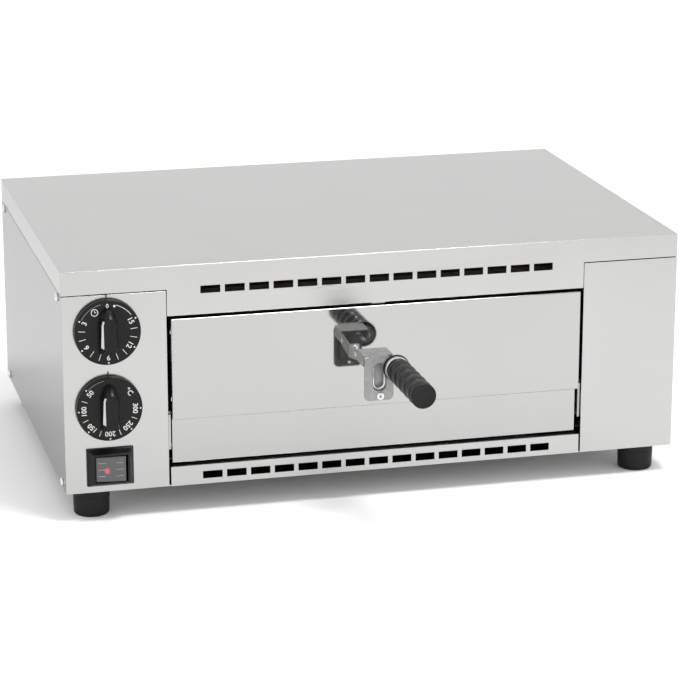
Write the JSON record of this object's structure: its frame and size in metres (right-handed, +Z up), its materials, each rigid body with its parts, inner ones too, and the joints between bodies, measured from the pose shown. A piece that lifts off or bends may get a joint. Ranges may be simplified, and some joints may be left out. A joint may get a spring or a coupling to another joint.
{
  "type": "countertop pizza oven",
  "caption": "Low stainless countertop pizza oven: control column with two knobs and a rocker switch, pull-out rack behind a drawer front with a ribbed handle, crumb tray below, rubber feet.",
  "frame": {"origin": "on the bench, under the middle of the whole object, grip and cable gland included", "axes": "+X to the oven's right as seen from the front, +Y to the back, +Z up; the front faces -Y"},
  "size_m": [0.5852, 0.55, 0.234],
  "materials": {
    "stainless_casing": "satin brushed stainless sheet",
    "stainless_inner": "mill-finish stainless sheet",
    "bright_steel": "bright zinc or chromium plated",
    "aluminised_steel": "aluminised sheet, dull silver",
    "element_sheath": "heat-darkened metal sheath",
    "mineral_wool": "loose mineral fibre",
    "ceramic": "unglazed steatite",
    "grip_plastic": "moulded glossy black",
    "knob_plastic": "moulded semi-matt black",
    "black_plastic": "moulded satin black",
    "black_rubber": "matt black rubber",
    "smoked_lens": "smoked translucent rocker",
    "galvanised_steel": "galvanised sheet, mid grey",
    "control_case": "grey moulded case",
    "copper_sensor": "copper tube and bulb",
    "glass_sleeve": "woven glass sleeve"
  },
  "bodies": {
    "casing": {"top_cover": "stainless_casing", "left_side_panel": "stainless_casing", "right_side_panel": "stainless_casing", "base_pan": "stainless_casing", "rear_panel": "stainless_casing", "screw_left_front_low": "bright_steel", "screw_left_front_top": "bright_steel", "screw_left_rear_low": "bright_steel", "screw_left_rear_top": "bright_steel", "screw_right_front_low": "bright_steel", "screw_right_front_top": "bright_steel", "screw_right_rear_low": "bright_steel", "screw_right_rear_top": "bright_steel", "foot_front_left": "black_rubber", "foot_rear_left": "black_rubber", "foot_front_right": "black_rubber", "foot_rear_right": "black_rubber", "cable_gland": "black_plastic", "chamber_shell": "aluminised_steel", "insulation_blanket": "mineral_wool", "insulation_rear": "mineral_wool", "heat_shield": "aluminised_steel", "runner_left": "stainless_inner", "runner_right": "stainless_inner", "upper_element": "element_sheath", "lower_element": "element_sheath", "upper_element_bar": "aluminised_steel", "lower_element_bar": "aluminised_steel", "upper_bush_left": "ceramic", "upper_bush_right": "ceramic", "lower_bush_left": "ceramic", "lower_bush_right": "ceramic", "door_catch": "bright_steel", "timer_movement": "control_case", "thermostat_body": "control_case", "thermostat_bulb": "copper_sensor", "switch_housing": "black_plastic", "terminal_block": "ceramic", "wiring_loom": "glass_sleeve"},
    "drawer": {"drawer_front": "stainless_casing", "drawer_inner_panel": "aluminised_steel", "drawer_insulation": "mineral_wool", "rack_arm_left": "stainless_inner", "rack_arm_right": "stainless_inner", "wire_rack": "bright_steel", "handle_bracket": "galvanised_steel", "wire_bail": "bright_steel", "plate_eyelet": "bright_steel", "handle_rod": "bright_steel", "grip_washer": "grip_plastic", "grip_ferrule": "bright_steel", "grip": "grip_plastic", "grip_end_cap": "grip_plastic"},
    "crumb_tray": {"tray_front": "stainless_casing", "crumb_tray": "stainless_inner"},
    "timer_knob": {"timer_knob": "knob_plastic", "timer_spindle": "bright_steel"},
    "thermostat_knob": {"thermostat_knob": "knob_plastic", "thermostat_spindle": "bright_steel"},
    "switch_rocker": {"switch_rocker": "smoked_lens"}
  },
  "joints": [
    {"name": "drawer_slide", "type": "slide", "parent": "casing", "child": "drawer", "axis": [0, -1, 0], "range_m": [0, 0.27]},
    {"name": "crumb_tray_slide", "type": "slide", "parent": "casing", "child": "crumb_tray", "axis": [0, -1, 0], "range_m": [0, 0.25]},
    {"name": "timer_turn", "type": "hinge", "parent": "casing", "child": "timer_knob", "pos_m": [-0.2496, -0.127, 0.1779], "axis": [0, 1, 0], "range_deg": [-45, 300]},
    {"name": "thermostat_turn", "type": "hinge", "parent": "casing", "child": "thermostat_knob", "pos_m": [-0.2496, -0.127, 0.1068], "axis": [0, 1, 0], "range_deg": [0, 285]},
    {"name": "switch_rock", "type": "hinge", "parent": "casing", "child": "switch_rocker", "pos_m": [-0.2496, -0.128, 0.0512], "axis": [0, 0, 1], "range_deg": [0, 10]}
  ]
}
